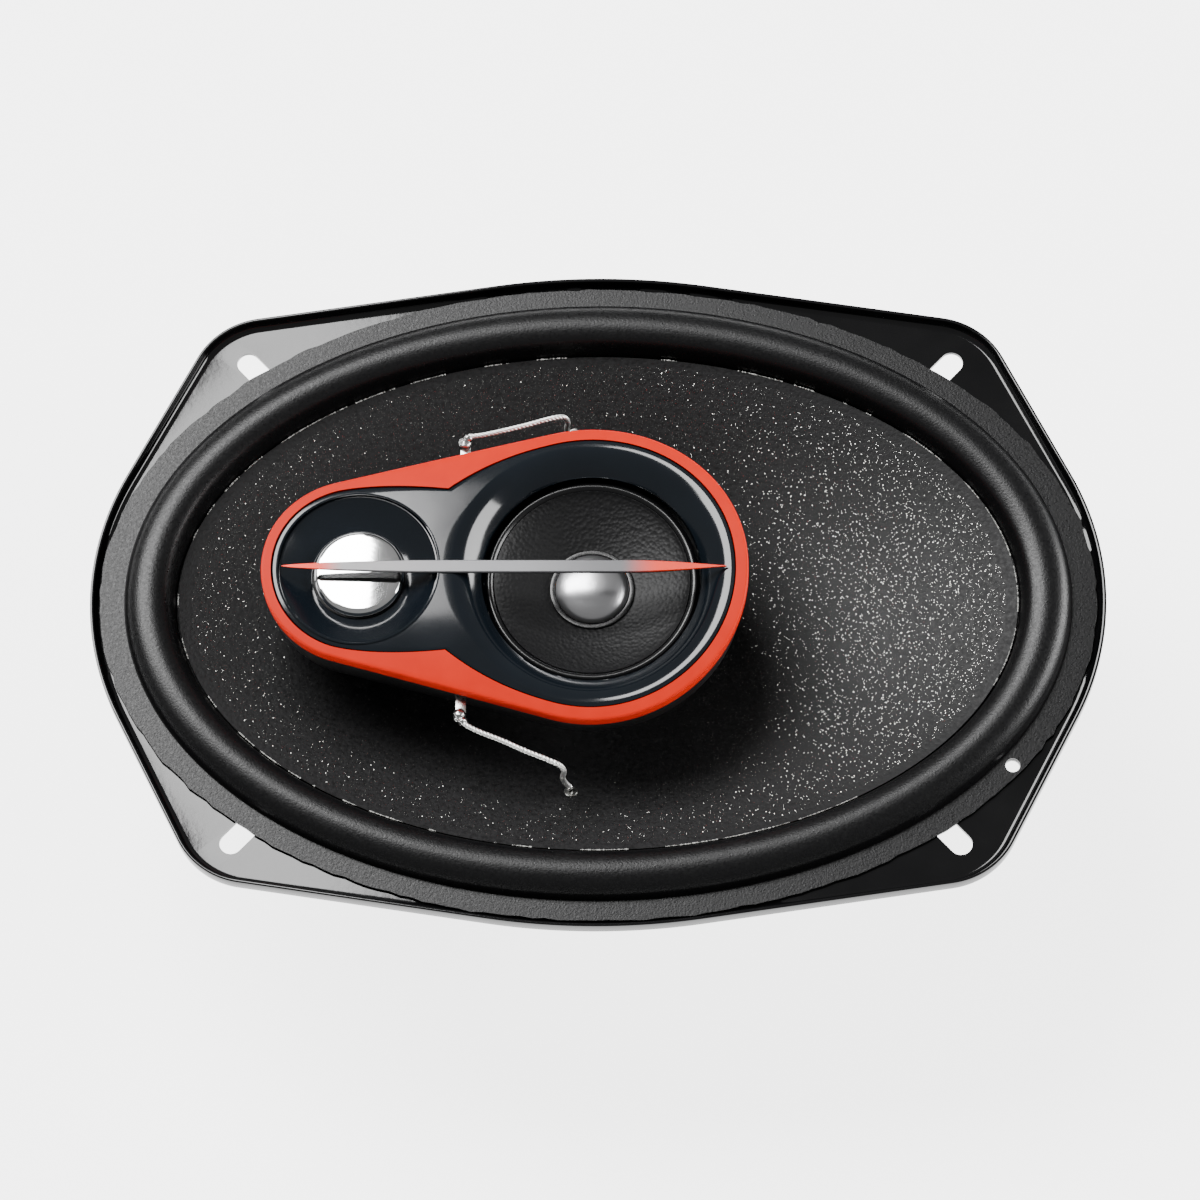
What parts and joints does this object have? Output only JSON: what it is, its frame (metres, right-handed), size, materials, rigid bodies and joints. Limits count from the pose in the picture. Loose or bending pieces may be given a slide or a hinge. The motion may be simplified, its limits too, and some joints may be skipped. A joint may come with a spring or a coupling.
{
  "type": "coaxial car speaker",
  "caption": "Oval coaxial car speaker: pressed steel basket, pulp cone on a half-roll surround, ferrite motor, and a teardrop pod carrying a midrange and a tweeter.",
  "frame": {"origin": "centre of the yoke's back face, at the middle of the bounding box's bottom", "axes": "+Z forward along the speaker's axis, +X along its long side, with the tweeter on the -X side; +Y towards the terminal board"},
  "size_m": [0.238, 0.1636, 0.0994],
  "materials": {
    "black_painted_steel": "gloss black stoving paint",
    "zinc_plated_steel": "zinc plated",
    "ferrite": "bare ground ferrite",
    "black_plastic": "moulded, satin",
    "gloss_black_plastic": "moulded, high gloss",
    "red_paint": "painted, satin",
    "satin_silver": "painted satin silver, red towards both ends",
    "polished_film": "mirror bright",
    "mica_paper_pulp": "pressed paper pulp with mica flakes",
    "textured_paper": "pressed paper, dimpled",
    "surround_foam": "moulded, matte",
    "spider_cloth": "resin-treated woven cloth",
    "black_felt": "felt",
    "kapton": "polyimide film",
    "enamelled_copper": "enamelled copper wire, wound",
    "nickel_plate": "nickel plated",
    "tinned_brass": "tinned",
    "brass_strip": "bright brass strip",
    "phenolic_board": "phenolic paper board",
    "silver_braid": "tinned copper braid",
    "black_pvc": "insulated wire",
    "capacitor_sleeve": "shrink sleeve"
  },
  "bodies": {
    "basket": {"anchor_rivet": "brass_strip", "anchor_tag": "brass_strip", "basket_rivet_1": "zinc_plated_steel", "basket_rivet_2": "zinc_plated_steel", "basket_rivet_3": "zinc_plated_steel", "basket_rivet_4": "zinc_plated_steel", "bridge_bar": "satin_silver", "frame": "black_painted_steel", "front_lead_lower": "silver_braid", "front_lead_upper": "silver_braid", "jumper_wire": "black_pvc", "lead_tag_lower": "tinned_brass", "lead_tag_upper": "tinned_brass", "magnet": "ferrite", "midrange_capacitor": "capacitor_sleeve", "midrange_frame": "black_painted_steel", "midrange_magnet": "nickel_plate", "midrange_pole_plate": "zinc_plated_steel", "midrange_surround": "surround_foam", "midrange_yoke": "zinc_plated_steel", "pod_bezel": "gloss_black_plastic", "pod_post": "black_plastic", "pod_screw_1": "zinc_plated_steel", "pod_screw_2": "zinc_plated_steel", "pod_screw_3": "zinc_plated_steel", "pod_screw_4": "zinc_plated_steel", "pod_shell": "black_plastic", "pod_trim": "red_paint", "post_screw": "zinc_plated_steel", "post_washer": "zinc_plated_steel", "rear_lead_lower": "silver_braid", "rear_lead_upper": "silver_braid", "spider": "spider_cloth", "surround": "surround_foam", "terminal_board": "phenolic_board", "terminal_rivet": "brass_strip", "terminal_tab_narrow": "brass_strip", "terminal_tab_wide": "brass_strip", "top_plate": "zinc_plated_steel", "tweeter_bowl": "gloss_black_plastic", "tweeter_capacitor": "capacitor_sleeve", "tweeter_magnet": "nickel_plate", "tweeter_mounting_ring": "black_plastic", "tweeter_pole_plate": "zinc_plated_steel", "tweeter_yoke": "zinc_plated_steel", "yoke": "zinc_plated_steel"},
    "woofer": {"cone": "mica_paper_pulp", "voice_coil_former": "kapton", "voice_coil": "enamelled_copper", "dust_ring": "black_felt", "eyelet_upper": "tinned_brass", "eyelet_lower": "tinned_brass"},
    "midrange": {"midrange_cone": "textured_paper", "midrange_dome": "polished_film", "midrange_voice_coil": "enamelled_copper"},
    "tweeter": {"tweeter_dome": "polished_film", "tweeter_voice_coil": "enamelled_copper"}
  },
  "joints": [
    {"name": "woofer_stroke", "type": "slide", "parent": "basket", "child": "woofer", "axis": [0, 0, 1], "range_m": [-0.005, 0.005], "stiffness_N_per_m": 1500, "deforming": ["surround", "spider", "front_lead_upper", "front_lead_lower", "rear_lead_upper", "rear_lead_lower"]},
    {"name": "midrange_stroke", "type": "slide", "parent": "basket", "child": "midrange", "axis": [0, 0, 1], "range_m": [-0.0005, 0.0005], "stiffness_N_per_m": 1500, "deforming": ["midrange_surround"]},
    {"name": "tweeter_stroke", "type": "slide", "parent": "basket", "child": "tweeter", "axis": [0, 0, 1], "range_m": [-0.0002, 0.0002], "stiffness_N_per_m": 1000}
  ]
}
